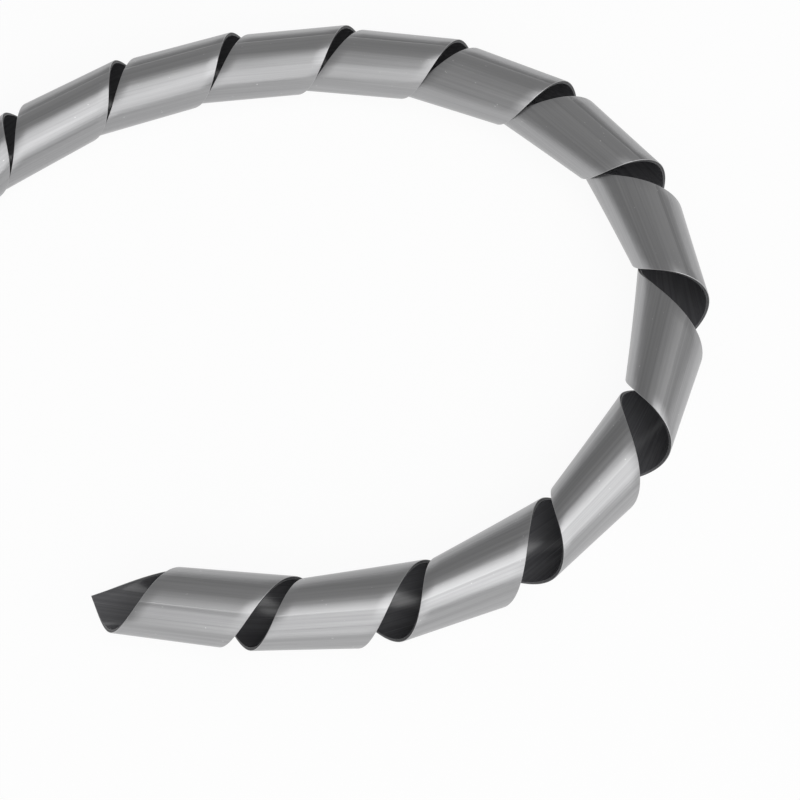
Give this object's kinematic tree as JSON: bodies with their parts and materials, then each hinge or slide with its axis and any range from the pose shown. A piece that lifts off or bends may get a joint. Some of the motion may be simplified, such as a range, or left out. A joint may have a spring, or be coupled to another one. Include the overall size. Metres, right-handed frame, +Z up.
{
  "type": "spiral cable wrap",
  "caption": "Length of open spiral plastic strip that winds around a bundle of cables to hold and protect it.",
  "frame": {"origin": "on the floor, under the middle of the wrap's outline as seen from above", "axes": "+Z up from the floor, -Y along the straight run to the far cut end, +X towards the outside of the tight bend"},
  "size_m": [0.2738, 0.6068, 0.0203],
  "materials": {
    "strip": "satin silver-grey outside with fine extrusion lines, near-black inside and on the cut edges"
  },
  "bodies": {
    "root": {"spiral_wrap": "strip"}
  },
  "joints": []
}
